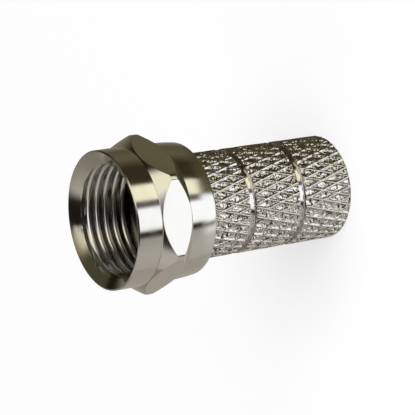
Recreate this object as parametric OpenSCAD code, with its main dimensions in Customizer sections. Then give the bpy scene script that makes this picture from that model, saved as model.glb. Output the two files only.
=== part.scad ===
// Screw-on coaxial plug: a hexagonal coupling nut that spins freely on a flanged
// ferrule, which is pressed into a knurled sleeve that screws onto the cable.
// The plug stands on its cable end, with its mouth up. The axis is Z, in millimetres.

/* [Coupling nut] */
// Length of the nut along the axis
nut_len = 7.2; // [6.6:0.1:10]
// Width across the flats of the hexagon
nut_af = 11.1; // [10.8:0.1:13]
// Turned diameter of the hexagon's corners
corner_d = 12.6; // [12.2:0.1:12.8]
// Diameter of the round collar in front of the hexagon
front_collar_d = 11; // [10.6:0.1:11]
// Length of the round collar in front of the hexagon
front_collar_len = 2.1; // [1:0.1:2.6]
// Diameter of the crowned collar behind the hexagon
rear_collar_d = 10.9; // [10.4:0.1:11]
// Length of the crowned collar behind the hexagon
rear_collar_len = 2.35; // [1.4:0.05:3]
// Radius of the crown along the rear collar
crown_r = 16; // [9:0.5:30]
// Radius of the rounded rear edge
rear_edge_r = 0.25; // [0.1:0.05:0.5]
// Axial length of the chamfers that cut the corners of the hexagon
corner_chamfer = 1.1; // [0.4:0.05:1.3]
// Bevel around the outside of the mouth
mouth_bevel = 0.08; // [0.04:0.01:0.12]
// Width of the flat rim between the bevel and the countersink
rim_w = 0.06; // [0.04:0.01:0.2]
// Angle of the mouth's countersink from the axis
countersink_angle = 58; // [40:1:65]

/* [Coupling thread] */
// Major diameter of the coupling thread
thread_d = 9.525; // [9:0.025:9.6]
// Pitch of the coupling thread
thread_pitch = 0.79375; // [0.5:0.00625:1]
// Diameter of the relief behind the thread
relief_d = 9.7; // [9.6:0.05:9.8]
// Length of the relief, from the inner shoulder
relief_len = 1.4; // [1.2:0.05:2]
// Length of the plain lead-in between the countersink and the first turn
lead_in_len = 0.2; // [0.1:0.05:0.6]

/* [Ferrule] */
// Diameter of the flange that holds the nut
flange_d = 8.2; // [7.8:0.05:8.4]
// Thickness of the flange
flange_t = 1; // [0.6:0.05:1.3]
// Diameter of the barrel
barrel_d = 6.8; // [6.6:0.05:7.1]
// Depth to which the barrel is pressed into the sleeve
seat_depth = 2.5; // [1.5:0.1:4]
// Bore for the cable's inner insulation
ferrule_bore_d = 5; // [4.4:0.1:5.4]
// Chamfer on the flange and at both ends of the ferrule's bore
ferrule_chamfer = 0.2; // [0.1:0.05:0.3]
// Thickness of the nut's inner shoulder, which the flange holds
shoulder_t = 1.1; // [0.8:0.05:1.4]

/* [Knurled sleeve] */
// Length of the sleeve
sleeve_len = 13.6; // [12:0.1:18]
// Diameter over the ridges of the knurl
sleeve_d = 8.5; // [8.3:0.1:9.4]
// Bore for the cable's jacket, inside its coarse thread
cable_bore_d = 6.2; // [5.8:0.05:6.4]
// Widened entry for the jacket at the cable end
entry_d = 7.4; // [6.8:0.1:7.6]
// Depth over which the entry narrows to the bore
entry_len = 0.9; // [0.4:0.1:2]
// Chamfer around both outer ends of the sleeve
end_chamfer = 0.12; // [0.1:0.01:0.3]
// Drop from the ridges to the plain lip behind each end chamfer
lip_drop = 0.05; // [0.02:0.01:0.1]
// Width of the plain ring grooves
ring_w = 0.6; // [0.3:0.05:1]
// Depth of the plain ring grooves below the ridges
ring_depth = 0.3; // [0.28:0.01:0.5]
// Distance of the first ring groove from the cable end, and between the grooves
ring_pitch = 4.78; // [3.5:0.02:5.5]
// Number of ring grooves
ring_count = 2; // [1:1:2]

/* [Knurl] */
// Ridges of each hand around the sleeve
knurl_count = 33; // [24:1:40]
// Angle of the ridges from the axis
knurl_angle = 16.3; // [14:0.1:30]
// Depth of the pits between the ridges
knurl_depth = 0.24; // [0.15:0.01:0.26]
// Share of each cell that the flat tops of its ridges take
ridge_share = 0.16; // [0.08:0.01:0.3]

/* [Fits] */
// Play of the nut along the axis, on each side of its inner shoulder
nut_play = 0.1; // [0.05:0.01:0.2]
// Radial running clearance between the nut and the ferrule's barrel
nut_clearance = 0.08; // [0.03:0.01:0.1]

/* [Hidden] */
$fn = 96;
CUT = 1;                              // how far a cutting tool reaches past the face that it cuts
NEAR = 0.000001;                      // points closer than this to a cutting plane lie on it
THREAD_HEIGHT = 1.0825;               // major less minor diameter of a 60 degree thread, in pitches
FLANK = 60;                           // angle of the thread's flanks from the axis

// Heights along the axis
nut_z = sleeve_len + nut_play;        // rear face of the nut
mouth_z = nut_z + nut_len;            // rim of the mouth
hex_bottom = nut_z + rear_collar_len;
hex_top = mouth_z - front_collar_len;
shoulder_z = nut_z + shoulder_t;      // front face of the nut's inner shoulder
flange_z = shoulder_z + nut_play;     // rear face of the flange
barrel_z = sleeve_len - seat_depth;   // rear end of the barrel, and floor of its seat

// Radii
thread_minor_r = (thread_d - THREAD_HEIGHT * thread_pitch) / 2;
rim_r = front_collar_d / 2 - mouth_bevel - rim_w;
countersink_len = (rim_r - thread_d / 2) / tan(countersink_angle);
first_flank_len = (thread_d / 2 - thread_minor_r) / tan(FLANK);
lead_in_z = mouth_z - countersink_len - lead_in_len;
crest_r = sleeve_d / 2;
core_r = crest_r - ring_depth;
pit_r = crest_r - knurl_depth;

// Knurl lattice: ridges cross at every second point of a grid of columns and rows
columns = 2 * knurl_count;
row_h = PI * sleeve_d / columns / tan(knurl_angle);

// ---- Coupling nut ----

// Half section of the rear collar: a crowned side and a rounded rear edge
module rear_collar_section() {
    collar_r = rear_collar_d / 2;
    edge_z = nut_z + rear_edge_r;
    edge_x = collar_r - (hex_bottom - edge_z) * (hex_bottom - edge_z) / (2 * crown_r) - rear_edge_r;
    translate([0, edge_z]) intersection() {
        square([collar_r, hex_bottom - edge_z]);
        translate([collar_r - crown_r, hex_bottom - edge_z]) circle(r = crown_r, $fn = 360);
    }
    translate([0, nut_z]) square([edge_x, rear_edge_r + NEAR]);
    translate([edge_x, edge_z]) circle(r = rear_edge_r);
}

// Half section of the hexagon after its corners are turned and chamfered
module corner_section() {
    polygon([
        [0, hex_bottom],
        [rear_collar_d / 2, hex_bottom],
        [corner_d / 2, hex_bottom + corner_chamfer],
        [corner_d / 2, hex_top - corner_chamfer],
        [front_collar_d / 2, hex_top],
        [0, hex_top]
    ]);
}

module nut_blank() {
    translate([0, 0, hex_top])
        cylinder(r = front_collar_d / 2, h = front_collar_len - mouth_bevel);
    translate([0, 0, mouth_z - mouth_bevel])
        cylinder(r1 = front_collar_d / 2, r2 = front_collar_d / 2 - mouth_bevel, h = mouth_bevel);
    intersection() {
        translate([0, 0, hex_bottom])
            cylinder(r = nut_af / 2 / cos(30), h = hex_top - hex_bottom, $fn = 6);
        rotate_extrude() corner_section();
    }
    rotate_extrude() rear_collar_section();
}

module coupling_nut() {
    color("#b9b7ad") difference() {
        nut_blank();
        // hole that turns on the ferrule's barrel
        translate([0, 0, nut_z - CUT])
            cylinder(r = barrel_d / 2 + nut_clearance, h = shoulder_t + 2 * CUT);
        // relief round the flange
        translate([0, 0, shoulder_z]) cylinder(d = relief_d, h = relief_len);
        // crests of the coupling thread
        translate([0, 0, shoulder_z]) cylinder(r = thread_minor_r, h = nut_len);
        // flank of the first turn, and the plain lead-in in front of it
        translate([0, 0, lead_in_z - first_flank_len])
            cylinder(r1 = thread_minor_r, r2 = thread_d / 2, h = first_flank_len);
        translate([0, 0, lead_in_z]) cylinder(d = thread_d, h = lead_in_len);
        // countersunk mouth
        translate([0, 0, mouth_z - countersink_len])
            cylinder(r1 = thread_d / 2, r2 = rim_r, h = countersink_len);
        translate([0, 0, mouth_z]) cylinder(r = rim_r, h = CUT);
    }
}

// ---- Front ferrule ----

// Half section of the ferrule: a flange in front, and a barrel that reaches into the sleeve
module ferrule_section() {
    bore_r = ferrule_bore_d / 2;
    barrel_r = barrel_d / 2;
    face_z = flange_z + flange_t;
    polygon([
        [bore_r + ferrule_chamfer, barrel_z],
        [barrel_r, barrel_z],
        [barrel_r, flange_z],
        [flange_d / 2, flange_z],
        [flange_d / 2, face_z - ferrule_chamfer],
        [flange_d / 2 - ferrule_chamfer, face_z],
        [bore_r + ferrule_chamfer, face_z],
        [bore_r, face_z - ferrule_chamfer],
        [bore_r, barrel_z + ferrule_chamfer]
    ]);
}

module front_ferrule() {
    color("#a9a79e") rotate_extrude() ferrule_section();
}

// ---- Knurled sleeve ----

// Point of the lattice: column k around the sleeve, row j up from the cable end, radius r
function on_skin(k, j, r) =
    let (turn = (k < 0 ? k + columns : k >= columns ? k - columns : k) * 360 / columns)
    [r * cos(turn), r * sin(turn), j * row_h];

// The twelve triangles of one cell: flat ridge tops around it, and a pit with four sides
function cell(k, j) =
    let (
        tips = [[1, 0], [0, 1], [-1, 0], [0, -1]],
        outer = [for (t = tips) on_skin(k + t.x, j + t.y, crest_r)],
        keep = 1 - ridge_share,
        inner = [for (t = tips) on_skin(k + keep * t.x, j + keep * t.y, crest_r)],
        pit = on_skin(k, j, pit_r)
    )
    [for (i = [0:3]) let (n = (i + 1) % 4) each [
        [outer[i], inner[n], outer[n]],
        [outer[i], inner[i], inner[n]],
        [inner[i], pit, inner[n]]
    ]];

// Point where the edge from a to b passes height z
function edge_at(a, b, z) =
    let (low = a.z < b.z ? a : b, high = a.z < b.z ? b : a)
    let (p = low + (high - low) * (z - low.z) / (high.z - low.z))
    [p.x, p.y, z];

// Part of a face above height z (side 1) or below it (side -1)
function trim(face, z, side) = [
    for (i = [0:len(face) - 1])
        let (a = face[i], b = face[(i + 1) % len(face)])
        let (da = (a.z - z) * side, db = (b.z - z) * side)
        each concat(
            da > -NEAR ? [a] : [],
            min(abs(da), abs(db)) > NEAR && da * db < 0 ? [edge_at(a, b, z)] : []
        )
];

// Triangles that close the end at height z, from each edge that lies there to the axis
function end_cap(faces, z) = [
    for (f = faces, i = [0:len(f) - 1])
        let (a = f[i], b = f[(i + 1) % len(f)])
        if (abs(a.z - z) < NEAR && abs(b.z - z) < NEAR) [b, a, [0, 0, z]]
];

// Plain chamfered lip at an end of the sleeve
module lip() {
    lip_r = crest_r - lip_drop;
    cylinder(r1 = lip_r - end_chamfer, r2 = lip_r, h = end_chamfer);
}

// Solid plug with a knurled side, from height z1 to height z2
module knurled_band(z1, z2) {
    whole = [
        for (j = [floor(z1 / row_h) : ceil(z2 / row_h)], k = [0:columns - 1])
            if ((j + k) % 2 != 0) each cell(k, j)
    ];
    side = [
        for (f = whole)
            let (face = trim(trim(f, z1, 1), z2, -1))
            if (len(face) > 2) face
    ];
    fans = [for (f = side, i = [1:len(f) - 2]) [f[0], f[i], f[i + 1]]];
    triangles = concat(fans, end_cap(side, z1), end_cap(side, z2));
    polyhedron(
        points = [for (t = triangles) each t],
        faces = [for (i = [0:len(triangles) - 1]) [3 * i, 3 * i + 1, 3 * i + 2]],
        convexity = 4
    );
}

// Heights of the bands' ends, in pairs, between the chamfered ends and the ring grooves
band_ends = [
    end_chamfer,
    for (i = [1:ring_count]) each [i * ring_pitch - ring_w / 2, i * ring_pitch + ring_w / 2],
    sleeve_len - end_chamfer
];

module knurled_sleeve() {
    color("#b2b0a6") difference() {
        union() {
            cylinder(r = core_r, h = sleeve_len);
            lip();
            translate([0, 0, sleeve_len]) mirror([0, 0, 1]) lip();
            for (i = [0:ring_count]) knurled_band(band_ends[2 * i], band_ends[2 * i + 1]);
        }
        // seat of the ferrule's barrel
        translate([0, 0, barrel_z]) cylinder(r = barrel_d / 2, h = seat_depth + CUT);
        // bore for the cable
        translate([0, 0, -CUT]) cylinder(r = cable_bore_d / 2, h = barrel_z + 2 * CUT);
        // widened entry
        cylinder(r1 = entry_d / 2, r2 = cable_bore_d / 2, h = entry_len);
        translate([0, 0, -CUT]) cylinder(r = entry_d / 2, h = CUT);
    }
}

coupling_nut();
front_ferrule();
knurled_sleeve();
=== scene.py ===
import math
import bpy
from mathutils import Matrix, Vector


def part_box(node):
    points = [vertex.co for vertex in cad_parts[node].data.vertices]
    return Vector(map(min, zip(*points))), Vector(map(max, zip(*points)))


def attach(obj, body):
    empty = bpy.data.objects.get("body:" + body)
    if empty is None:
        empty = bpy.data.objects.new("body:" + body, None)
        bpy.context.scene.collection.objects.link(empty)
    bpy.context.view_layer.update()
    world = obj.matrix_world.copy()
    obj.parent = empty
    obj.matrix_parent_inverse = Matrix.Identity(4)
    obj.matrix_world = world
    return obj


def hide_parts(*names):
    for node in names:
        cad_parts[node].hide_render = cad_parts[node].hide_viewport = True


bl_info = {
    "name": "Screw-on coaxial plug",
    "version": (1, 0, 0),
    "blender": (4, 5, 0),
    "location": "View3D > Sidebar > Plug",
    "description": "Builds and finishes the visible pieces of a nickel-plated screw-on coaxial plug",
    "category": "Object",
}

import bmesh
import bpy
from bpy.props import FloatProperty, FloatVectorProperty, IntProperty, PointerProperty
from mathutils import Matrix, Vector

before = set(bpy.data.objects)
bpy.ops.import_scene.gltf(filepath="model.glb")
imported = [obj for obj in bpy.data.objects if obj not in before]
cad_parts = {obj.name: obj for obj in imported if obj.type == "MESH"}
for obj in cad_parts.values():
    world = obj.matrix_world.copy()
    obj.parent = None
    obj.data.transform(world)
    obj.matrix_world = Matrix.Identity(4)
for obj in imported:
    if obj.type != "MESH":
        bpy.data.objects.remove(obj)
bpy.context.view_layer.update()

MM = 0.001
# Points closer than this are one point
WELD = 0.0004 * MM
# Chamfers larger than this have no pits next to the edge
PLAIN_CUT = 0.06 * MM
# Major less minor diameter of a 60 degree thread, in pitches
THREAD_HEIGHT = 1.0825
# Rows of faces along one pitch of a thread, and spare turns that its strip is made longer by
ROWS_PER_PITCH = 16
SPARE_TURNS = 2.3
# Points along each side of a knurl cell
CELL_POINTS = 15
# Steps along a flat of the hexagon, along the crown and round the rear edge
FLAT_STEPS = 36
CROWN_STEPS = 8
EDGE_STEPS = 6
# Shares of a chamfer at which the knurl is cut, and the share of a large one that has no pits
CHAMFER_LEVELS = (0.33, 0.66, 1.0)
PLAIN_SHARE = 0.7
NUT_LOW, NUT_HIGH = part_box("coupling_nut")
SLEEVE_LOW, SLEEVE_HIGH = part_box("knurled_sleeve")
FERRULE_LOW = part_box("front_ferrule")[0]


def length(name, description, default):
    """A size of the plug, in metres."""
    return FloatProperty(
        name=name, description=description, default=default, min=0.0,
        unit="LENGTH", subtype="DISTANCE", precision=6,
    )


def degrees(name, description, default):
    """An angle, given here in degrees and held in radians."""
    return FloatProperty(
        name=name, description=description, default=math.radians(default),
        unit="ROTATION", subtype="ANGLE",
    )


def linear(hex_colour):
    """Linear red, green, blue and alpha of an sRGB hex colour such as #C8C4BA."""
    parts = [int(hex_colour[i:i + 2], 16) / 255 for i in (1, 3, 5)]
    line = [c / 12.92 if c <= 0.04045 else ((c + 0.055) / 1.055) ** 2.4 for c in parts]
    return (*line, 1.0)


def colour(name, description, hex_colour):
    """A finish colour that a user may change."""
    return FloatVectorProperty(
        name=name, description=description, default=linear(hex_colour),
        size=4, min=0.0, max=1.0, subtype="COLOR",
    )


# ---------------------------------------------------------------- sizes

class NutSizes(bpy.types.PropertyGroup):
    """Outside and mouth of the coupling nut."""

    across_flats: length("Across flats", "Width across the hexagon's flats", NUT_HIGH.y - NUT_LOW.y)
    across_corners: length("Across corners", "Turned diameter of the corners", NUT_HIGH.x - NUT_LOW.x)
    front_collar: length("Front collar", "Diameter of the collar in front", 11.0 * MM)
    front_length: length("Front length", "Length of the collar in front", 2.1 * MM)
    rear_collar: length("Rear collar", "Diameter of the collar behind", 10.9 * MM)
    rear_length: length("Rear length", "Length of the collar behind", 2.35 * MM)
    crown_radius: length("Crown radius", "Radius of the crown along the rear collar", 16.0 * MM)
    rear_edge: length("Rear edge", "Radius of the rounded rear edge", 0.25 * MM)
    corner_chamfer: length("Corner chamfer", "Axial length of the corner chamfers", 1.1 * MM)
    edge_round: length("Edge round", "Radius left on the machined edges", 0.07 * MM)
    mouth_bevel: length("Mouth bevel", "Bevel round the outside of the mouth", 0.08 * MM)
    rim: length("Rim", "Width of the flat rim", 0.06 * MM)
    countersink: degrees("Countersink", "Angle of the mouth's countersink from the axis", 58.0)
    relief: length("Relief", "Diameter of the relief behind the thread", 9.7 * MM)
    relief_length: length("Relief length", "Length of the relief", 1.4 * MM)
    shoulder: length("Shoulder", "Thickness of the inner shoulder", 1.1 * MM)
    hole: length("Rear hole", "Diameter of the hole that turns on the ferrule", 6.96 * MM)


class ThreadSizes(bpy.types.PropertyGroup):
    """The two inner threads."""

    coupling_major: length("Coupling major", "Major diameter of the coupling thread", 9.525 * MM)
    coupling_pitch: length("Coupling pitch", "Pitch of the coupling thread", 0.79375 * MM)
    coupling_start: FloatProperty(
        name="Coupling start", description="Where the coupling thread starts, in turns", default=0.86,
    )
    cable_minor: length("Cable minor", "Crest diameter of the thread that grips the jacket", 6.2 * MM)
    cable_pitch: length("Cable pitch", "Pitch of the thread that grips the jacket", 1.5 * MM)
    cable_depth: length("Cable depth", "Depth of the thread that grips the jacket", 0.42 * MM)
    columns: IntProperty(name="Columns", description="Steps round one turn", default=240, min=24)
    cable_columns: IntProperty(
        name="Cable columns", description="Steps round one turn of the hidden thread", default=96, min=24,
    )


class SleeveSizes(bpy.types.PropertyGroup):
    """Sleeve, ring grooves and knurl."""

    diameter: length("Diameter", "Diameter over the ridges", 8.5 * MM)
    end_chamfer: length("End chamfer", "Chamfer round both ends", 0.12 * MM)
    ring_width: length("Ring width", "Width of the plain ring grooves", 0.6 * MM)
    ring_depth: length("Ring depth", "Depth of the plain ring grooves", 0.3 * MM)
    ring_pitch: length("Ring pitch", "Distance from the cable end to the first groove", 4.78 * MM)
    entry: length("Entry", "Widened entry for the jacket", 7.4 * MM)
    entry_length: length("Entry length", "Depth over which the entry narrows", 0.9 * MM)
    seat: length("Seat", "Diameter of the ferrule's seat", 6.8 * MM)
    ridges: IntProperty(name="Ridges", description="Ridges of each hand round the sleeve", default=33, min=8)
    ridge_angle: degrees("Ridge angle", "Angle of the ridges from the axis", 16.3)
    groove_edge: length("Groove edge", "Chamfer left along the ring grooves", 0.03 * MM)
    knurl_depth: length("Knurl depth", "Depth of the pits between the ridges", 0.13 * MM)
    unevenness: FloatProperty(
        name="Unevenness", description="How far the pits differ in depth, as a share", default=0.9, min=0.0,
    )
    seed: FloatProperty(name="Seed", description="Picks the pattern of the uneven pits", default=0.0)
    turn: degrees("Turn", "Where the knurl starts round the axis", 0.0)
    shift: length("Shift", "Where the knurl starts along the axis", 0.0)


class Finish(bpy.types.PropertyGroup):
    """Colours of the nickel plate and of the studio."""

    nut_nickel: colour("Nut nickel", "Bright nickel on the coupling nut", "#D6D6D4")
    sleeve_nickel: colour("Sleeve nickel", "Bright nickel on the knurled sleeve", "#D4D3D1")
    ferrule_nickel: colour("Ferrule nickel", "Nickel on the ferrule", "#C6C3BC")
    floor: colour("Floor", "Pale studio floor", "#FFFFFF")


class Studio(bpy.types.PropertyGroup):
    """Camera and light."""

    aim: FloatVectorProperty(
        name="Aim", description="Point that the camera looks at", size=3,
        default=(-0.29 * MM, 0.30 * MM, 11.04 * MM), subtype="TRANSLATION", precision=6,
    )
    distance: length("Distance", "From the camera to its aim", 160.22 * MM)
    azimuth: degrees("Azimuth", "Side that the camera stands on, from +X", -82.83)
    elevation: degrees("Elevation", "Height of the camera above the floor", 31.94)
    roll: degrees("Roll", "Turn of the camera about its own view", -99.01)
    lens: FloatProperty(name="Lens", description="Focal length in millimetres", default=173.5, min=10.0)


# ---------------------------------------------------------------- small helpers

def node(tree, kind, inputs=None, **settings):
    """Adds a node with its settings; an input is a value or another node's socket."""
    made = tree.nodes.new(kind)
    for name, value in settings.items():
        setattr(made, name, value)
    for key, value in (inputs or {}).items():
        if isinstance(value, bpy.types.NodeSocket):
            tree.links.new(value, made.inputs[key])
        else:
            made.inputs[key].default_value = value
    return made


def dress(mesh, material):
    """Gives a mesh one material."""
    mesh.materials.clear()
    mesh.materials.append(material)


def new_piece(name, mesh):
    """Links a mesh as an object at the origin."""
    made = bpy.data.objects.new(name, mesh)
    bpy.context.scene.collection.objects.link(made)
    return made


def smooth(mesh, angle):
    """Smooth shading, with the edges that turn more than the angle kept sharp."""
    mesh.shade_smooth()
    mesh.set_sharp_from_angle(angle=angle)


def from_bmesh(bm, name, angle):
    """Welds, closes up the normals and returns the finished mesh."""
    bmesh.ops.remove_doubles(bm, verts=bm.verts, dist=WELD)
    bmesh.ops.dissolve_degenerate(bm, edges=bm.edges, dist=WELD)
    bmesh.ops.recalc_face_normals(bm, faces=bm.faces)
    mesh = bpy.data.meshes.new(name)
    bm.to_mesh(mesh)
    bm.free()
    smooth(mesh, angle)
    return mesh


def rounded(points, steps=3):
    """The outline with its corners rounded; each point is (radius, height, rounding)."""
    line = []
    for i, (r, z, fillet) in enumerate(points):
        corner = Vector((r, z))
        if fillet == 0 or i in (0, len(points) - 1):
            line.append(corner)
            continue
        before = Vector(points[i - 1][:2]) - corner
        after = Vector(points[i + 1][:2]) - corner
        reach = min(before.length, after.length) * 0.45
        turn = before.angle(after)
        cut = min(fillet / math.tan(turn / 2), reach)
        start = corner + before.normalized() * cut
        end = corner + after.normalized() * cut
        for s in range(steps + 1):
            t = s / steps
            line.append(start.lerp(corner, t).lerp(corner.lerp(end, t), t))
    return line


def ring(bm, outline_point, turns):
    """One vertex for each turn round the axis, at the point (radius, height) that it gives."""
    made = []
    for i, turn in enumerate(turns):
        r, z = outline_point(i, turn)
        made.append(bm.verts.new((r * math.cos(turn), r * math.sin(turn), z)))
    return made


def skin(bm, rings):
    """Faces between neighbouring rings of equal count."""
    for low, high in zip(rings, rings[1:]):
        for i in range(len(low)):
            j = (i + 1) % len(low)
            bm.faces.new((low[i], low[j], high[j], high[i]))


def lathe(bm, outline, turns):
    """Turns an outline of (radius, height) points round the axis; returns its rings."""
    rings = [ring(bm, lambda i, turn, p=p: (p[0], p[1]), turns) for p in outline]
    skin(bm, rings)
    return rings


def open_ring(bm, height, low_r, high_r):
    """Vertices of the open edge that lies at one height between two radii, in order round the axis."""
    found = set()
    for edge in bm.edges:
        if not edge.is_boundary:
            continue
        for v in edge.verts:
            if abs(v.co.z - height) < WELD and low_r < math.hypot(v.co.x, v.co.y) < high_r:
                found.add(v)
    return sorted(found, key=turn_of)


def turn_of(v):
    """Angle of a vertex round the axis."""
    return math.atan2(v.co.y, v.co.x) % (2 * math.pi)


def close_between(bm, first, second):
    """Triangles between two rings of any counts, matched by their angles round the axis."""
    rings = [sorted(verts, key=turn_of) for verts in (first, second)]
    steps = [(turn_of(v), side, i) for side, verts in enumerate(rings) for i, v in enumerate(verts)]
    at = [len(verts) - 1 for verts in rings]
    for _, side, i in sorted(steps):
        corners = (rings[side][at[side]], rings[side][i], rings[1 - side][at[1 - side]])
        bm.faces.new(corners)
        at[side] = i


# ---------------------------------------------------------------- node trees

def geometry_tree(name, sockets):
    """An empty geometry tree with the named inputs; returns it and its input node."""
    tree = bpy.data.node_groups.new(name, "GeometryNodeTree")
    for label, kind, value in sockets:
        socket = tree.interface.new_socket(name=label, in_out="INPUT", socket_type=kind)
        if kind != "NodeSocketMaterial":
            socket.default_value = value
    tree.interface.new_socket(name="Geometry", in_out="OUTPUT", socket_type="NodeSocketGeometry")
    return tree, tree.nodes.new("NodeGroupInput")


def wrap_round(tree, sheet, angle, radius, height, material):
    """Wraps a flat sheet round Z, welds its seam and ends the tree in real geometry with its material."""
    cosine = node(tree, "ShaderNodeMath", {0: angle}, operation="COSINE")
    sine = node(tree, "ShaderNodeMath", {0: angle}, operation="SINE")
    x = node(tree, "ShaderNodeMath", {0: cosine.outputs[0], 1: radius}, operation="MULTIPLY")
    y = node(tree, "ShaderNodeMath", {0: sine.outputs[0], 1: radius}, operation="MULTIPLY")
    bent = node(tree, "ShaderNodeCombineXYZ", {0: x.outputs[0], 1: y.outputs[0], 2: height})
    tube = node(tree, "GeometryNodeSetPosition", {"Geometry": sheet, "Position": bent.outputs[0]})
    welded = node(tree, "GeometryNodeMergeByDistance", {"Geometry": tube.outputs[0], "Distance": WELD})
    real = node(tree, "GeometryNodeRealizeInstances", {"Geometry": welded.outputs[0]})
    dressed = node(tree, "GeometryNodeSetMaterial", {"Geometry": real.outputs[0], "Material": material})
    out = tree.nodes.new("NodeGroupOutput")
    tree.links.new(dressed.outputs[0], out.inputs[0])


def grow(tree, values):
    """Runs a tree with the given inputs on an empty mesh and returns the plain mesh that it makes."""
    carrier = new_piece(tree.name + "_carrier", bpy.data.meshes.new(tree.name + "_carrier"))
    modifier = carrier.modifiers.new(tree.name, "NODES")
    modifier.node_group = tree
    for item in tree.interface.items_tree:
        if item.item_type == "SOCKET" and item.in_out == "INPUT" and item.name in values:
            modifier[item.identifier] = values[item.name]
    depsgraph = bpy.context.evaluated_depsgraph_get()
    mesh = bpy.data.meshes.new_from_object(carrier.evaluated_get(depsgraph))
    bpy.data.objects.remove(carrier)
    return mesh


# Section of a thread: (distance from the middle of its crest towards its root, share of its depth).
# The crest is two shallow lands, which catch a thin line of light, and the root is sharp.
THREAD_SECTION = ((0, 0), (0.36, 0.115), (1, 1))


def thread_tree():
    """A strip of inner thread round Z, from height 0 up to its open end, cut by a countersink."""
    tree, given = geometry_tree("inner_thread", [
        ("Columns", "NodeSocketInt", 240),
        ("Rows", "NodeSocketInt", 100),
        ("Pitch", "NodeSocketFloat", 0.001),
        ("Crest Radius", "NodeSocketFloat", 0.004),
        ("Depth", "NodeSocketFloat", 0.0004),
        ("Length", "NodeSocketFloat", 0.004),
        ("Start", "NodeSocketFloat", 0.0),
        ("Cone Start", "NodeSocketFloat", 0.0035),
        ("Cone Slope", "NodeSocketFloat", 1.0),
        ("Material", "NodeSocketMaterial", None),
    ])
    pitch, depth, start = (given.outputs[name] for name in ("Pitch", "Depth", "Start"))
    crest_r = given.outputs["Crest Radius"]
    # a flat grid: X is one turn, and Y rises a row at a time
    grid = node(tree, "GeometryNodeMeshGrid", {
        "Size X": 1.0, "Size Y": 1.0, "Vertices X": given.outputs["Columns"],
        "Vertices Y": given.outputs["Rows"],
    })
    place = node(tree, "GeometryNodeInputPosition")
    flat = node(tree, "ShaderNodeSeparateXYZ", {0: place.outputs[0]})
    turn_part = node(tree, "ShaderNodeMath", {0: flat.outputs["X"], 1: 0.5}, operation="ADD")
    row_part = node(tree, "ShaderNodeMath", {0: flat.outputs["Y"], 1: 0.5}, operation="ADD")
    last_row = node(tree, "ShaderNodeMath", {0: given.outputs["Rows"], 1: 1.0}, operation="SUBTRACT")
    row = node(tree, "ShaderNodeMath", {0: row_part.outputs[0], 1: last_row.outputs[0]}, operation="MULTIPLY")
    row_turns = node(tree, "ShaderNodeMath", {
        0: row.outputs[0], 1: float(ROWS_PER_PITCH),
    }, operation="DIVIDE")
    raised = node(tree, "ShaderNodeMath", {0: row_turns.outputs[0], 1: turn_part.outputs[0]}, operation="ADD")
    lowered = node(tree, "ShaderNodeMath", {0: raised.outputs[0], 1: start}, operation="SUBTRACT")
    height = node(tree, "ShaderNodeMath", {0: lowered.outputs[0], 1: pitch}, operation="MULTIPLY")
    kept = node(tree, "ShaderNodeClamp", {
        "Value": height.outputs[0], "Min": 0.0, "Max": given.outputs["Length"],
    })
    # where each point lies between a crest and a root
    kept_turns = node(tree, "ShaderNodeMath", {0: kept.outputs[0], 1: pitch}, operation="DIVIDE")
    unturned = node(tree, "ShaderNodeMath", {
        0: kept_turns.outputs[0], 1: turn_part.outputs[0],
    }, operation="SUBTRACT")
    rephased = node(tree, "ShaderNodeMath", {0: unturned.outputs[0], 1: start}, operation="ADD")
    folded = node(tree, "ShaderNodeMath", {0: rephased.outputs[0], 1: 0.5}, operation="PINGPONG")
    from_crest = node(tree, "ShaderNodeMath", {0: folded.outputs[0], 1: 2.0}, operation="MULTIPLY")
    share = node(tree, "ShaderNodeFloatCurve", {"Value": from_crest.outputs[0]})
    set_curve(share, THREAD_SECTION)
    cut = node(tree, "ShaderNodeMath", {0: share.outputs[0], 1: depth}, operation="MULTIPLY")
    thread_r = node(tree, "ShaderNodeMath", {0: cut.outputs[0], 1: crest_r}, operation="ADD")
    root_r = node(tree, "ShaderNodeMath", {0: crest_r, 1: depth}, operation="ADD")
    # the countersink, which cuts the thread off
    past = node(tree, "ShaderNodeMath", {
        0: kept.outputs[0], 1: given.outputs["Cone Start"],
    }, operation="SUBTRACT")
    opened = node(tree, "ShaderNodeMath", {
        0: past.outputs[0], 1: given.outputs["Cone Slope"],
    }, operation="MULTIPLY")
    cone_r = node(tree, "ShaderNodeMath", {0: opened.outputs[0], 1: root_r.outputs[0]}, operation="ADD")
    radius = node(tree, "ShaderNodeMath", {0: thread_r.outputs[0], 1: cone_r.outputs[0]}, operation="MAXIMUM")
    angle = node(tree, "ShaderNodeMath", {0: turn_part.outputs[0], 1: 2 * math.pi}, operation="MULTIPLY")
    wrap_round(
        tree, grid.outputs[0], angle.outputs[0], radius.outputs[0], kept.outputs[0],
        given.outputs["Material"],
    )
    return tree


# Section of a knurl cell: (distance from its middle towards its ridge, share of the pit's depth).
# The floor is nearly flat, and the sides curve up to a narrow ridge.
LEVELS = ((0, 1), (0.3, 1), (0.52, 0.97), (0.64, 0.82), (0.74, 0.5), (0.83, 0.2), (0.92, 0.04), (1, 0))


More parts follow.
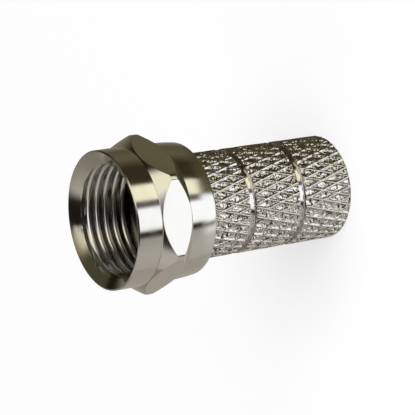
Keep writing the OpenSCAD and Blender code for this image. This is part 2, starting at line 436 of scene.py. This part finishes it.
def knurl_tree():
    """A knurled band round Z between two heights: copies of one ridge cell, bent round the axis.

    A cell is a diamond of flat ridge tops round a pit. Along X it is two columns wide and along Y
    two rows long, and neighbouring cells share their ridges.
    """
    tree, given = geometry_tree("diamond_knurl", [
        ("Ridges", "NodeSocketInt", 33),
        ("First Row", "NodeSocketInt", 0),
        ("Rows", "NodeSocketInt", 4),
        ("Row Height", "NodeSocketFloat", 0.001),
        ("Row Shift", "NodeSocketFloat", 0.0),
        ("Turn", "NodeSocketFloat", 0.0),
        ("Radius", "NodeSocketFloat", 0.004),
        ("Depth", "NodeSocketFloat", 0.0003),
        ("Unevenness", "NodeSocketFloat", 0.25),
        ("Seed", "NodeSocketFloat", 0.0),
        ("Material", "NodeSocketMaterial", None),
    ])
    # one cell: a grid whose lines crowd towards its edges, turned 45 degrees
    grid = node(tree, "GeometryNodeMeshGrid", {
        "Size X": 2.0, "Size Y": 2.0, "Vertices X": CELL_POINTS, "Vertices Y": CELL_POINTS,
    })
    place = node(tree, "GeometryNodeInputPosition")
    even = node(tree, "ShaderNodeSeparateXYZ", {0: place.outputs[0]})
    spread = []
    even_levels = [(n / (len(LEVELS) - 1), level) for n, (level, _) in enumerate(LEVELS)]
    for axis in ("X", "Y"):
        size = node(tree, "ShaderNodeMath", {0: even.outputs[axis]}, operation="ABSOLUTE")
        side = node(tree, "ShaderNodeMath", {0: even.outputs[axis]}, operation="SIGN")
        crowd = node(tree, "ShaderNodeFloatCurve", {"Value": size.outputs[0]})
        set_curve(crowd, even_levels)
        signed = {0: crowd.outputs[0], 1: side.outputs[0]}
        spread.append(node(tree, "ShaderNodeMath", signed, operation="MULTIPLY"))
    a, b = spread
    across = node(tree, "ShaderNodeMath", {0: a.outputs[0], 1: b.outputs[0]}, operation="SUBTRACT")
    along = node(tree, "ShaderNodeMath", {0: a.outputs[0], 1: b.outputs[0]}, operation="ADD")
    column = node(tree, "ShaderNodeMath", {0: across.outputs[0], 1: 0.5}, operation="MULTIPLY")
    step = node(tree, "ShaderNodeMath", {0: along.outputs[0], 1: 0.5}, operation="MULTIPLY")
    a_size = node(tree, "ShaderNodeMath", {0: a.outputs[0]}, operation="ABSOLUTE")
    b_size = node(tree, "ShaderNodeMath", {0: b.outputs[0]}, operation="ABSOLUTE")
    level = node(tree, "ShaderNodeMath", {0: a_size.outputs[0], 1: b_size.outputs[0]}, operation="MAXIMUM")
    sunk = node(tree, "ShaderNodeFloatCurve", {"Value": level.outputs[0]})
    set_curve(sunk, LEVELS)
    flat_cell = node(tree, "ShaderNodeCombineXYZ", {
        0: column.outputs[0], 1: step.outputs[0], 2: sunk.outputs[0],
    })
    cell = node(tree, "GeometryNodeSetPosition", {
        "Geometry": grid.outputs[0], "Position": flat_cell.outputs[0],
    })
    # every second point of the lattice carries a cell
    columns = node(tree, "ShaderNodeMath", {0: given.outputs["Ridges"], 1: 2.0}, operation="MULTIPLY")
    count = node(tree, "ShaderNodeMath", {
        0: columns.outputs[0], 1: given.outputs["Rows"],
    }, operation="MULTIPLY")
    points = node(tree, "GeometryNodePoints", {"Count": count.outputs[0]})
    index = node(tree, "GeometryNodeInputIndex")
    k = node(tree, "ShaderNodeMath", {0: index.outputs[0], 1: columns.outputs[0]}, operation="MODULO")
    j_part = node(tree, "ShaderNodeMath", {0: index.outputs[0], 1: columns.outputs[0]}, operation="DIVIDE")
    j_whole = node(tree, "ShaderNodeMath", {0: j_part.outputs[0]}, operation="FLOOR")
    j = node(tree, "ShaderNodeMath", {0: j_whole.outputs[0], 1: given.outputs["First Row"]}, operation="ADD")
    spot = node(tree, "ShaderNodeCombineXYZ", {0: k.outputs[0], 1: j.outputs[0], 2: 0.0})
    lattice = node(tree, "GeometryNodeSetPosition", {
        "Geometry": points.outputs[0], "Position": spot.outputs[0],
    })
    total = node(tree, "ShaderNodeMath", {0: k.outputs[0], 1: j.outputs[0]}, operation="ADD")
    odd = node(tree, "ShaderNodeMath", {0: total.outputs[0], 1: 2.0}, operation="FLOORED_MODULO")
    is_odd = node(tree, "FunctionNodeCompare", {
        0: odd.outputs[0], 1: 0.5,
    }, data_type="FLOAT", operation="GREATER_THAN")
    copies = node(tree, "GeometryNodeInstanceOnPoints", {
        "Points": lattice.outputs[0], "Selection": is_odd.outputs[0], "Instance": cell.outputs[0],
    })
    sheet = node(tree, "GeometryNodeRealizeInstances", {"Geometry": copies.outputs[0]})
    # where each point of the sheet stands on the sleeve
    laid = node(tree, "ShaderNodeSeparateXYZ", {0: node(tree, "GeometryNodeInputPosition").outputs[0]})
    share = node(tree, "ShaderNodeMath", {0: laid.outputs["X"], 1: columns.outputs[0]}, operation="DIVIDE")
    around = node(tree, "ShaderNodeMath", {0: share.outputs[0], 1: 2 * math.pi}, operation="MULTIPLY")
    angle = node(tree, "ShaderNodeMath", {0: around.outputs[0], 1: given.outputs["Turn"]}, operation="ADD")
    rows_up = node(tree, "ShaderNodeMath", {
        0: laid.outputs["Y"], 1: given.outputs["Row Height"],
    }, operation="MULTIPLY")
    height = node(tree, "ShaderNodeMath", {
        0: rows_up.outputs[0], 1: given.outputs["Row Shift"],
    }, operation="ADD")
    # the floors of the pits are uneven, and the ridges are not: the noise is laid out in
    # millimetres, about 27 round the sleeve, and its humps are some 0.3 mm across
    spot = node(tree, "ShaderNodeCombineXYZ", {
        0: share.outputs[0], 1: height.outputs[0], 2: given.outputs["Seed"],
    })
    wide = node(tree, "ShaderNodeVectorMath", {
        0: spot.outputs[0], 1: (27.0, 1000.0, 1.0),
    }, operation="MULTIPLY")
    grain = node(
        tree, "ShaderNodeTexNoise", {"Vector": wide.outputs[0], "Scale": 3.2, "Detail": 2.0},
        noise_dimensions="3D",
    )
    centred = node(tree, "ShaderNodeMath", {0: grain.outputs["Fac"], 1: 0.5}, operation="SUBTRACT")
    swing = node(tree, "ShaderNodeMath", {
        0: centred.outputs[0], 1: given.outputs["Unevenness"],
    }, operation="MULTIPLY")
    varied = node(tree, "ShaderNodeMath", {0: swing.outputs[0], 1: 1.0}, operation="ADD")
    deep = node(tree, "ShaderNodeMath", {0: laid.outputs["Z"], 1: varied.outputs[0]}, operation="MULTIPLY")
    drop = node(tree, "ShaderNodeMath", {0: deep.outputs[0], 1: given.outputs["Depth"]}, operation="MULTIPLY")
    radius = node(tree, "ShaderNodeMath", {
        0: given.outputs["Radius"], 1: drop.outputs[0],
    }, operation="SUBTRACT")
    wrap_round(
        tree, sheet.outputs[0], angle.outputs[0], radius.outputs[0], height.outputs[0],
        given.outputs["Material"],
    )
    return tree


def set_curve(curve_node, points):
    """Straight lines through the points of a float curve."""
    curve = curve_node.mapping.curves[0]
    curve_node.mapping.use_clip = False
    while len(curve.points) < len(points):
        curve.points.new(0.5, 0.5)
    for made, (x, y) in zip(curve.points, points):
        made.location = (x, y)
        made.handle_type = "VECTOR"
    curve_node.mapping.update()


# ---------------------------------------------------------------- materials

def nickel(name, colour_value, roughness, line_scale, line_strength, pit_radius=0.0):
    """Bright nickel plate over turned brass: a warm grey mirror, softened by the tool's fine rings.

    The rings are 0.314 / line_scale metres apart, 0.1 mm at 3000, which is about twice as coarse as
    the real feed, so that they show. Clouds about 1.1 mm across vary the gloss. With a pit radius,
    the metal near it is torn as a knurling wheel leaves it, in lumps some 0.4 mm across: specks of
    light and dark in the pits, while the ridges and the plain grooves stay clean.
    """
    material = bpy.data.materials.new(name)
    material.use_nodes = True
    tree = material.node_tree
    tree.nodes.clear()
    where = node(tree, "ShaderNodeTexCoord")
    rings = node(
        tree, "ShaderNodeTexWave",
        {"Vector": where.outputs["Object"], "Scale": line_scale, "Distortion": 1.5, "Detail": 3.0},
        wave_type="BANDS", bands_direction="Z",
    )
    cloud = node(tree, "ShaderNodeTexNoise", {
        "Vector": where.outputs["Object"], "Scale": 900.0, "Detail": 4.0, "Roughness": 0.6,
    })
    rough = node(tree, "ShaderNodeMapRange", {
        "Value": cloud.outputs["Fac"], "From Min": 0.3, "From Max": 0.7,
        "To Min": roughness * 0.75, "To Max": roughness * 1.3,
    })
    relief = node(tree, "ShaderNodeBump", {
        "Height": rings.outputs["Fac"], "Strength": line_strength, "Distance": 0.002 * MM,
    })
    if pit_radius:
        place = node(tree, "ShaderNodeSeparateXYZ", {0: where.outputs["Object"]})
        level = node(tree, "ShaderNodeCombineXYZ", {0: place.outputs["X"], 1: place.outputs["Y"], 2: 0.0})
        reach = node(tree, "ShaderNodeVectorMath", {0: level.outputs[0]}, operation="LENGTH")
        above_groove = node(tree, "ShaderNodeMapRange", {
            "Value": reach.outputs["Value"], "From Min": pit_radius - 0.08 * MM,
            "From Max": pit_radius - 0.05 * MM, "To Min": 0.0, "To Max": 1.0,
        })
        below_ridge = node(tree, "ShaderNodeMapRange", {
            "Value": reach.outputs["Value"], "From Min": pit_radius + 0.06 * MM,
            "From Max": pit_radius + 0.13 * MM, "To Min": 1.0, "To Max": 0.12,
        })
        pit = node(tree, "ShaderNodeMath", {
            0: above_groove.outputs[0], 1: below_ridge.outputs[0],
        }, operation="MULTIPLY")
        torn = node(tree, "ShaderNodeTexNoise", {
            "Vector": where.outputs["Object"], "Scale": 2600.0, "Detail": 1.0, "Roughness": 0.5,
        })
        relief = node(tree, "ShaderNodeBump", {
            "Height": torn.outputs["Fac"], "Strength": pit.outputs[0], "Distance": 0.17 * MM,
            "Normal": relief.outputs[0],
        })
    shader = node(tree, "ShaderNodeBsdfPrincipled", {
        "Base Color": tuple(colour_value), "Metallic": 1.0,
        "Roughness": rough.outputs[0], "Normal": relief.outputs[0],
    })
    out = tree.nodes.new("ShaderNodeOutputMaterial")
    tree.links.new(shader.outputs[0], out.inputs[0])
    return material


# Colour of the floor's matt part, which carries the shadow, and the glow that lifts it to white
FLOOR_MATT = "#BFC1CB"
FLOOR_GLOW = 0.62


def floor_material(colour_value):
    """A pale sweep: white to the camera, with the plug's soft shadow kept.

    Glossy rays pass through it, so the metal doesn't mirror the floor: it mirrors the soft boxes
    and dark flags of the surround on every side, also from below.
    """
    material = bpy.data.materials.new("matt_white_sweep")
    material.use_nodes = True
    tree = material.node_tree
    tree.nodes.clear()
    ray = node(tree, "ShaderNodeLightPath")
    matt = node(tree, "ShaderNodeBsdfDiffuse", {"Color": linear(FLOOR_MATT)})
    glow = node(tree, "ShaderNodeEmission", {"Color": tuple(colour_value), "Strength": FLOOR_GLOW})
    lit = node(tree, "ShaderNodeAddShader", {0: matt.outputs[0], 1: glow.outputs[0]})
    seen = node(tree, "ShaderNodeMixShader", {
        0: ray.outputs["Is Camera Ray"], 1: matt.outputs[0], 2: lit.outputs[0],
    })
    clear = node(tree, "ShaderNodeBsdfTransparent")
    mixed = node(tree, "ShaderNodeMixShader", {
        0: ray.outputs["Is Glossy Ray"], 1: seen.outputs[0], 2: clear.outputs[0],
    })
    out = tree.nodes.new("ShaderNodeOutputMaterial")
    tree.links.new(mixed.outputs[0], out.inputs[0])
    return material


# ---------------------------------------------------------------- the coupling nut

def hexagon_turns(flat_r, corner_r, steps):
    """Angles round one sixth, crowded where the flat meets the turned corner, for all six."""
    edge = math.acos(flat_r / corner_r)
    side = [edge * (2 * i / steps - 1) for i in range(steps + 1)]
    corner = [edge + (math.pi / 3 - 2 * edge) * i / 3 for i in (1, 2)]
    sixth = side + corner
    return [math.pi / 6 + math.pi / 3 * n + a for n in range(6) for a in sixth]


def nut_outside(bm, sizes):
    """Outside of the nut from the mouth's rim to the rear face, column by column."""
    flat_r = sizes.across_flats / 2
    corner_r = sizes.across_corners / 2
    front_r = sizes.front_collar / 2
    rear_r = sizes.rear_collar / 2
    top = NUT_HIGH.z
    bottom = NUT_LOW.z
    hex_top = top - sizes.front_length
    hex_bottom = bottom + sizes.rear_length
    span = sizes.rear_length - sizes.rear_edge
    drop = span ** 2 / (2 * sizes.crown_radius)
    rear_face_r = rear_r - drop
    turns = hexagon_turns(flat_r, corner_r, FLAT_STEPS)

    def column(turn):
        """Outline of the nut at one angle round the axis, from the mouth's rim to the rear face."""
        offset = (turn % (math.pi / 3)) - math.pi / 6
        r = min(flat_r / math.cos(offset), corner_r)
        front_cut = sizes.corner_chamfer * (r - front_r) / (corner_r - front_r)
        rear_cut = sizes.corner_chamfer * (r - rear_r) / (corner_r - rear_r)
        soft = sizes.edge_round
        outline = [
            (front_r - sizes.mouth_bevel - 0.3 * sizes.rim, top, 0),
            (front_r - sizes.mouth_bevel, top, soft / 3),
            (front_r, top - sizes.mouth_bevel, soft / 3),
            (front_r, hex_top, soft * 1.5),
            (r, hex_top - front_cut, soft),
            (r, hex_bottom + rear_cut, soft),
            (rear_r, hex_bottom, soft * 1.5),
        ]
        line = rounded(outline, 4)
        for i in range(1, CROWN_STEPS + 1):
            t = i / CROWN_STEPS
            line.append(Vector((rear_r - drop * t * t, hex_bottom - span * t)))
        for i in range(1, EDGE_STEPS + 1):
            t = math.pi / 2 * i / EDGE_STEPS
            line.append(Vector((
                rear_face_r - sizes.rear_edge * (1 - math.cos(t)),
                bottom + sizes.rear_edge * (1 - math.sin(t)),
            )))
        return line

    columns = [column(turn) for turn in turns]
    count = len(columns[0])
    rings = [ring(bm, lambda i, turn, n=n: columns[i][n], turns) for n in range(count)]
    skin(bm, rings)
    return rings[0], rings[-1]


def strip_rows(strip_length, pitch):
    """Rows of a thread's strip that cover the length all the way round."""
    return ROWS_PER_PITCH * math.ceil(strip_length / pitch + SPARE_TURNS) + 1


def even_turns(count):
    """Equal steps round the axis."""
    return [2 * math.pi * i / count for i in range(count)]


def build_nut(nut, thread, material):
    """Mesh of the coupling nut, with its helical thread."""
    bm = bmesh.new()
    rim_ring, rear_ring = nut_outside(bm, nut)
    root_r = thread.coupling_major / 2
    depth = THREAD_HEIGHT * thread.coupling_pitch / 2
    crest_r = root_r - depth
    rim_r = nut.front_collar / 2 - nut.mouth_bevel - nut.rim
    slope = math.tan(nut.countersink)
    shoulder_z = NUT_LOW.z + nut.shoulder
    thread_z = shoulder_z + nut.relief_length
    cone_z = NUT_HIGH.z - (rim_r - root_r) / slope
    # the strip reaches a little way up the countersink
    open_z = cone_z + 0.02 * MM
    strip_length = open_z - thread_z
    strip = grow(thread_tree(), {
        "Columns": thread.columns + 1,
        "Rows": strip_rows(strip_length, thread.coupling_pitch),
        "Pitch": thread.coupling_pitch,
        "Crest Radius": crest_r,
        "Depth": depth,
        "Length": strip_length,
        "Start": 1 + thread.coupling_start,
        "Cone Start": cone_z - thread_z,
        "Cone Slope": slope,
        "Material": material,
    })
    strip.transform(Matrix.Translation((0, 0, thread_z)))
    turns = even_turns(thread.columns)
    # from the rim down the countersink to the thread
    mouth = lathe(bm, rounded([
        (rim_r + 0.3 * nut.rim, NUT_HIGH.z, 0),
        (rim_r, NUT_HIGH.z, 0.02 * MM),
        (root_r + slope * (open_z - cone_z), open_z, 0),
    ], 3), turns)
    # relief, shoulder and rear hole
    inside = lathe(bm, rounded([
        (nut.relief / 2, thread_z, 0),
        (nut.relief / 2, shoulder_z, 0.08 * MM),
        (nut.hole / 2, shoulder_z, 0.05 * MM),
        (nut.hole / 2, NUT_LOW.z, 0.05 * MM),
        (nut.hole / 2 + 0.2 * MM, NUT_LOW.z, 0),
    ], 3), turns)
    close_between(bm, rim_ring, mouth[0])
    close_between(bm, rear_ring, inside[-1])
    bm.from_mesh(strip)
    close_between(bm, open_ring(bm, thread_z, 0, nut.relief / 2 - 10 * WELD), inside[0])
    return from_bmesh(bm, "coupling_nut_turned", math.radians(32))


# ---------------------------------------------------------------- the knurled sleeve

def slice_at(bm, height, side=1, clear=False):
    """Cuts the mesh at a height, and may take away what lies beyond it on that side."""
    bmesh.ops.bisect_plane(
        bm, geom=bm.verts[:] + bm.edges[:] + bm.faces[:], dist=WELD / 10,
        plane_co=(0, 0, height), plane_no=(0, 0, side), clear_outer=clear,
    )


def knurled_band(sheet, low, high, low_cut, high_cut, crest_r):
    """The stretch of the knurled sheet between two heights, with a chamfer at each end.

    The pits run out into a small chamfer, and stop short of the edge in a large one.
    """
    bm = bmesh.new()
    bm.from_mesh(sheet)
    slice_at(bm, low, -1, clear=True)
    slice_at(bm, high, 1, clear=True)
    for height, cut in ((low, low_cut), (high, high_cut)):
        for part in CHAMFER_LEVELS:
            slice_at(bm, height + math.copysign(cut * part, (low + high) / 2 - height))
        for v in bm.verts:
            reach = math.hypot(v.co.x, v.co.y)
            inset = abs(v.co.z - height)
            allowed = crest_r - max(0, cut - inset)
            plain = cut > PLAIN_CUT and inset < PLAIN_SHARE * cut
            if plain or reach > allowed:
                v.co.x *= allowed / reach
                v.co.y *= allowed / reach
    mesh = bpy.data.meshes.new("knurled_band")
    bm.to_mesh(mesh)
    bm.free()
    return mesh


def build_sleeve(sleeve, thread, material):
    """Mesh of the knurled sleeve: three knurled bands, the ring grooves, both ends and the bore."""
    bm = bmesh.new()
    crest_r = sleeve.diameter / 2
    core_r = crest_r - sleeve.ring_depth
    half = sleeve.ring_width / 2
    pitch = sleeve.ring_pitch
    low, high = SLEEVE_LOW.z, SLEEVE_HIGH.z
    row_height = math.pi * sleeve.diameter / (2 * sleeve.ridges) / math.tan(sleeve.ridge_angle)
    first = math.floor((low - sleeve.shift) / row_height) - 1
    last = math.ceil((high - sleeve.shift) / row_height) + 1
    sheet = grow(knurl_tree(), {
        "Ridges": sleeve.ridges,
        "First Row": first,
        "Rows": last - first + 1,
        "Row Height": row_height,
        "Row Shift": sleeve.shift,
        "Turn": sleeve.turn,
        "Radius": crest_r,
        "Depth": sleeve.knurl_depth,
        "Unevenness": sleeve.unevenness,
        "Seed": sleeve.seed,
        "Material": material,
    })
    ends = [low, pitch - half, pitch + half, 2 * pitch - half, 2 * pitch + half, high]
    cuts = [sleeve.end_chamfer] + [sleeve.groove_edge] * 4 + [sleeve.end_chamfer]
    for n in (0, 2, 4):
        bm.from_mesh(knurled_band(sheet, ends[n], ends[n + 1], cuts[n], cuts[n + 1], crest_r))
    turns = even_turns(thread.cable_columns)
    cable_r = thread.cable_minor / 2
    root_r = cable_r + thread.cable_depth
    seat_z = FERRULE_LOW.z
    seat_r = sleeve.seat / 2
    # plain grooves between the bands, with rounded corners
    fillet = 0.04 * MM
    for n in (1, 3):
        walls = [open_ring(bm, z, core_r, crest_r + WELD) for z in ends[n:n + 2]]
        floor = lathe(bm, rounded([
            (core_r + fillet, ends[n], 0),
            (core_r, ends[n], fillet),
            (core_r, ends[n + 1], fillet),
            (core_r + fillet, ends[n + 1], 0),
        ], 3), turns)
        close_between(bm, walls[0], floor[0])
        close_between(bm, walls[1], floor[-1])
    # the thread that grips the jacket, its open end at the cable end
    strip_length = seat_z - low
    slope = (sleeve.entry / 2 - cable_r) / sleeve.entry_length
    strip = grow(thread_tree(), {
        "Columns": thread.cable_columns + 1,
        "Rows": strip_rows(strip_length, thread.cable_pitch),
        "Pitch": thread.cable_pitch,
        "Crest Radius": cable_r,
        "Depth": thread.cable_depth,
        "Length": strip_length,
        "Start": 1.0,
        "Cone Start": strip_length - (sleeve.entry / 2 - root_r) / slope,
        "Cone Slope": slope,
        "Material": material,
    })
    strip.transform(Matrix.Translation((0, 0, seat_z)) @ Matrix.Rotation(math.pi, 4, "X"))
    tail = open_ring(bm, low, core_r - 0.2 * MM, crest_r)
    front = open_ring(bm, high, core_r - 0.2 * MM, crest_r)
    bm.from_mesh(strip)
    close_between(bm, tail, open_ring(bm, low, cable_r, sleeve.entry / 2 + WELD))
    # the ferrule's seat behind a small undercut, then the front end
    seat = lathe(bm, [
        (root_r + 0.02 * MM, seat_z),
        (seat_r + 0.15 * MM, seat_z),
        (seat_r + 0.15 * MM, seat_z + 0.1 * MM),
        (seat_r, seat_z + 0.1 * MM),
        (seat_r, high),
        (seat_r + 0.05 * MM, high),
    ], turns)
    close_between(bm, front, seat[-1])
    close_between(bm, open_ring(bm, seat_z, cable_r - WELD, root_r + WELD), seat[0])
    return from_bmesh(bm, "knurled_sleeve_rolled", math.radians(45))


# ---------------------------------------------------------------- the studio

# Radius of the floor, in metres
FLOOR_RADIUS = 1.5

# The lamp stands high over the plug, lights the floor and throws the soft shadow, and the metal
# doesn't mirror it: place and diameter in metres, and power in watts
LAMP_PLACE = Vector((0.1, -0.2, 0.8))
LAMP_SIZE = 0.6
LAMP_POWER = 3.0

# A Mix node set to colours takes them at inputs 6 and 7 and gives its own at output 2
MIX_LOWER, MIX_UPPER, MIX_RESULT = 6, 7, 2

# Strength at which the surround lights the metal
SURROUND_STRENGTH = 1.45

# The soft boxes and dark flags that the metal mirrors, as (degrees round from +X, colour): the
# lowest layer, then those above it, each with the two heights, in degrees, between which it takes
# over from the one below
UNDERNEATH = (
    (-180, "#A8A49C"), (-140, "#B8B4AC"), (-128, "#DEDAD4"), (-118, "#787266"), (-110, "#FFFFFF"),
    (-68, "#FFFFFF"), (-60, "#5A5440"), (-36, "#4C4632"), (60, "#3C3624"), (110, "#A09C92"),
)
SURROUND = (
    (-42, -36, (
        (-180, "#A09B90"), (-150, "#A6A299"), (-124, "#9A958C"), (-118, "#282319"), (-112, "#282319"),
        (-108, "#F2F0E4"), (-103, "#FFFFFF"), (-76, "#FFFFFF"), (-71, "#5E5456"), (-64, "#605458"),
        (-60, "#F6F0D2"), (-38, "#F6F0D2"), (-32, "#352C1E"), (0, "#322A1C"), (24, "#5C5640"),
        (50, "#4E4935"), (100, "#8C877C"), (118, "#969086"),
    )),
    (-26, -11, (
        (-180, "#3A362E"), (-140, "#2A251C"), (-106, "#120F0A"), (-74, "#120F0A"), (-56, "#2A2518"),
        (-20, "#1E1A10"), (30, "#1E1A10"), (60, "#6A6450"), (110, "#8C877C"), (150, "#7A766C"),
    )),
    (-3, 14, (
        (-180, "#A39E93"), (-152, "#B0ACA4"), (-138, "#F4F2EE"), (-125, "#D8D4CC"), (-108, "#D8D6D4"),
        (-94, "#FFFFFF"), (-60, "#FFFFFF"), (-50, "#F6F0D2"), (-28, "#EAE4C8"), (-12, "#1E1912"),
        (70, "#1A160E"), (100, "#6E6A5C"), (140, "#7E796B"),
    )),
    (22, 30, (
        (-180, "#A39E93"), (-148, "#A09A90"), (-138, "#1E1912"), (-88, "#1E1912"), (-78, "#6E686E"),
        (-66, "#A09AA2"), (-52, "#EAE4C8"), (-22, "#EAE4C8"), (-8, "#1E1912"), (10, "#4A4636"),
        (45, "#423F2F"), (70, "#453E32"), (100, "#6E6A5C"), (140, "#7E796B"), (165, "#A39E93"),
    )),
    (60, 71, (
        (-180, "#1A160E"), (-60, "#1A160E"), (-40, "#A8A498"), (-12, "#C4C0B6"), (8, "#DAD0B4"),
        (26, "#8E8868"), (50, "#1A160E"),
    )),
)


def set_bands(ramp, stops):
    """Sets a colour ramp that runs once round, from -180 to 180 degrees."""
    while len(ramp.elements) < len(stops):
        ramp.elements.new(0.5)
    for made, (angle, hex_colour) in zip(ramp.elements, stops):
        made.position = (angle + 180) / 360
        made.color = linear(hex_colour)


# ---------------------------------------------------------------- operators

class PLUG_OT_studio(bpy.types.Operator):
    """Sets the camera, the pale floor, the surround and the soft lamp"""

    bl_idname = "plug.studio"
    bl_label = "Studio"

    def execute(self, context):
        studio = context.scene.plug_studio
        finish = context.scene.plug_finish
        data = bpy.data.cameras.new("camera")
        data.sensor_width = 36.0
        data.lens = studio.lens
        data.clip_start = 0.005
        camera = new_piece("camera", data)
        out = Vector((
            math.cos(studio.elevation) * math.cos(studio.azimuth),
            math.cos(studio.elevation) * math.sin(studio.azimuth),
            math.sin(studio.elevation),
        ))
        turn = (-out).to_track_quat("-Z", "Y").to_matrix().to_4x4()
        stand = Matrix.Translation(Vector(studio.aim) + out * studio.distance)
        camera.matrix_world = stand @ turn @ Matrix.Rotation(studio.roll, 4, "Z")
        context.scene.camera = camera
        self.make_floor(finish)
        self.make_world(context)
        self.make_lamp()
        context.scene.view_settings.view_transform = "Standard"
        return {"FINISHED"}

    def make_floor(self, finish):
        """A wide disc under the plug, apart from its pieces."""
        bm = bmesh.new()
        bmesh.ops.create_circle(bm, cap_ends=True, segments=96, radius=FLOOR_RADIUS)
        mesh = bpy.data.meshes.new("floor")
        bm.to_mesh(mesh)
        bm.free()
        floor = new_piece("floor", mesh)
        floor.data.materials.append(floor_material(finish.floor))

    def make_world(self, context):
        """White behind the plug, and the surround for everything that the metal mirrors."""
        world = bpy.data.worlds.new("studio")
        context.scene.world = world
        world.use_nodes = True
        tree = world.node_tree
        tree.nodes.clear()
        ray = node(tree, "ShaderNodeLightPath")
        where = node(tree, "ShaderNodeTexCoord")
        way = node(tree, "ShaderNodeSeparateXYZ", {0: where.outputs["Generated"]})
        side = node(tree, "ShaderNodeMath", {0: way.outputs["Y"], 1: way.outputs["X"]}, operation="ARCTAN2")
        part = node(tree, "ShaderNodeMapRange", {
            "Value": side.outputs[0], "From Min": -math.pi, "From Max": math.pi,
            "To Min": 0.0, "To Max": 1.0,
        })
        rise = node(tree, "ShaderNodeMath", {0: way.outputs["Z"]}, operation="ARCSINE")
        ramp = node(tree, "ShaderNodeValToRGB", {"Fac": part.outputs[0]})
        set_bands(ramp.color_ramp, UNDERNEATH)
        seen = ramp.outputs["Color"]
        for low, high, stops in SURROUND:
            ramp = node(tree, "ShaderNodeValToRGB", {"Fac": part.outputs[0]})
            set_bands(ramp.color_ramp, stops)
            fade = node(tree, "ShaderNodeMapRange", {
                "Value": rise.outputs[0], "From Min": math.radians(low), "From Max": math.radians(high),
                "To Min": 0.0, "To Max": 1.0,
            }, interpolation_type="SMOOTHSTEP")
            mixed = node(tree, "ShaderNodeMix", {
                "Factor": fade.outputs["Result"], MIX_LOWER: seen, MIX_UPPER: ramp.outputs["Color"],
            }, data_type="RGBA")
            seen = mixed.outputs[MIX_RESULT]
        surround = node(tree, "ShaderNodeBackground", {"Color": seen, "Strength": SURROUND_STRENGTH})
        backdrop = node(tree, "ShaderNodeBackground", {"Color": linear("#FFFFFF"), "Strength": 1.0})
        chosen = node(tree, "ShaderNodeMixShader", {
            0: ray.outputs["Is Camera Ray"], 1: surround.outputs[0], 2: backdrop.outputs[0],
        })
        out = tree.nodes.new("ShaderNodeOutputWorld")
        tree.links.new(chosen.outputs[0], out.inputs[0])

    def make_lamp(self):
        """One soft disc lamp, turned to the plug."""
        data = bpy.data.lights.new("soft_top", "AREA")
        data.shape = "DISK"
        data.size = LAMP_SIZE
        data.energy = LAMP_POWER
        lamp = new_piece("soft_top", data)
        lamp.location = LAMP_PLACE
        lamp.rotation_euler = (-LAMP_PLACE).to_track_quat("-Z", "Y").to_euler()
        lamp.visible_glossy = False


class PLUG_OT_coupling_nut(bpy.types.Operator):
    """Makes the hexagonal coupling nut with its inner thread"""

    bl_idname = "plug.coupling_nut"
    bl_label = "Coupling nut"

    def execute(self, context):
        scene = context.scene
        material = nickel("bright_nickel_nut", scene.plug_finish.nut_nickel, 0.12, 3000.0, 0.12)
        mesh = build_nut(scene.plug_nut, scene.plug_thread, material)
        piece = new_piece("coupling_nut_piece", mesh)
        dress(mesh, material)
        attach(piece, "nut")
        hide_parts("coupling_nut")
        return {"FINISHED"}


class PLUG_OT_knurled_sleeve(bpy.types.Operator):
    """Makes the knurled sleeve with its ring grooves and its coarse inner thread"""

    bl_idname = "plug.knurled_sleeve"
    bl_label = "Knurled sleeve"

    def execute(self, context):
        scene = context.scene
        pit_radius = scene.plug_sleeve.diameter / 2 - scene.plug_sleeve.knurl_depth
        material = nickel(
            "bright_nickel_sleeve", scene.plug_finish.sleeve_nickel, 0.1, 3000.0, 0.1, pit_radius,
        )
        mesh = build_sleeve(scene.plug_sleeve, scene.plug_thread, material)
        piece = new_piece("knurled_sleeve_piece", mesh)
        dress(mesh, material)
        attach(piece, "sleeve")
        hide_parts("knurled_sleeve")
        return {"FINISHED"}


class PLUG_OT_front_ferrule(bpy.types.Operator):
    """Finishes the flanged ferrule that holds the nut"""

    bl_idname = "plug.front_ferrule"
    bl_label = "Front ferrule"

    def execute(self, context):
        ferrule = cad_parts["front_ferrule"]
        material = nickel("nickel_ferrule", context.scene.plug_finish.ferrule_nickel, 0.2, 4000.0, 0.2)
        dress(ferrule.data, material)
        return {"FINISHED"}


class PLUG_PT_pieces(bpy.types.Panel):
    """Lists the pieces of the plug"""

    bl_label = "Screw-on coaxial plug"
    bl_idname = "PLUG_PT_pieces"
    bl_space_type = "VIEW_3D"
    bl_region_type = "UI"
    bl_category = "Plug"

    def draw(self, context):
        for name in PIECES:
            self.layout.operator("plug." + name)


PIECES = ("studio", "coupling_nut", "front_ferrule", "knurled_sleeve")
GROUPS = {
    "plug_nut": NutSizes,
    "plug_thread": ThreadSizes,
    "plug_sleeve": SleeveSizes,
    "plug_finish": Finish,
    "plug_studio": Studio,
}
CLASSES = (
    PLUG_OT_studio, PLUG_OT_coupling_nut, PLUG_OT_front_ferrule, PLUG_OT_knurled_sleeve,
    PLUG_PT_pieces,
)


def register():
    """Registers the sizes, the operators and the panel."""
    for group in GROUPS.values():
        bpy.utils.register_class(group)
    for name, group in GROUPS.items():
        setattr(bpy.types.Scene, name, PointerProperty(type=group))
    for made in CLASSES:
        bpy.utils.register_class(made)


def unregister():
    """Takes them all away again."""
    for made in reversed(CLASSES):
        bpy.utils.unregister_class(made)
    for name in GROUPS:
        delattr(bpy.types.Scene, name)
    for group in reversed(GROUPS.values()):
        bpy.utils.unregister_class(group)


def main():
    """Builds every piece."""
    register()
    for name in PIECES:
        getattr(bpy.ops.plug, name)()


if __name__ == "__main__":
    main()
